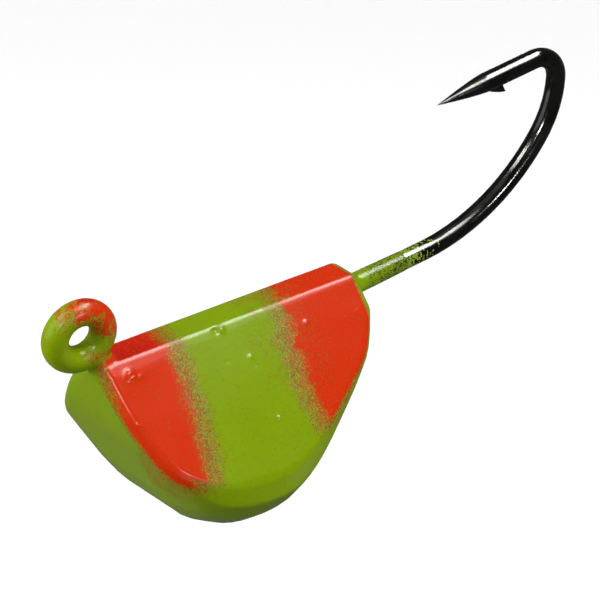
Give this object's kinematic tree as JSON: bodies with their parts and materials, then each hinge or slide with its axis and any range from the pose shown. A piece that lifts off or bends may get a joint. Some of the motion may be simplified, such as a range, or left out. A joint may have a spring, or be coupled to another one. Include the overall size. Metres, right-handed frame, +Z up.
{
  "type": "jig head",
  "caption": "Painted lead jig head with a flat deck, flared sides and a deep keel, cast round a jig hook with a line eye at the nose and a barbed point.",
  "frame": {"origin": "centre of the line eye", "axes": "+X from the nose towards the bend of the hook, along the flat deck; +Z up, out of the flat deck, the side the hook's point is on; +Y completes the right-handed set, to the left when looking from the eye to the bend"},
  "size_m": [0.0409, 0.0148, 0.0235],
  "materials": {
    "hook_wire": "black nickel plating, polished",
    "lead": "as cast lead, fully painted over",
    "base_paint": "glossy chartreuse powder coat",
    "accent_paint": "glossy fluorescent orange overspray"
  },
  "bodies": {
    "root": {"hook": "hook_wire", "head_casting": "lead", "base_coat": "base_paint", "nose_accent": "accent_paint", "tail_accent": "accent_paint", "eye_accent": "accent_paint"}
  },
  "joints": []
}
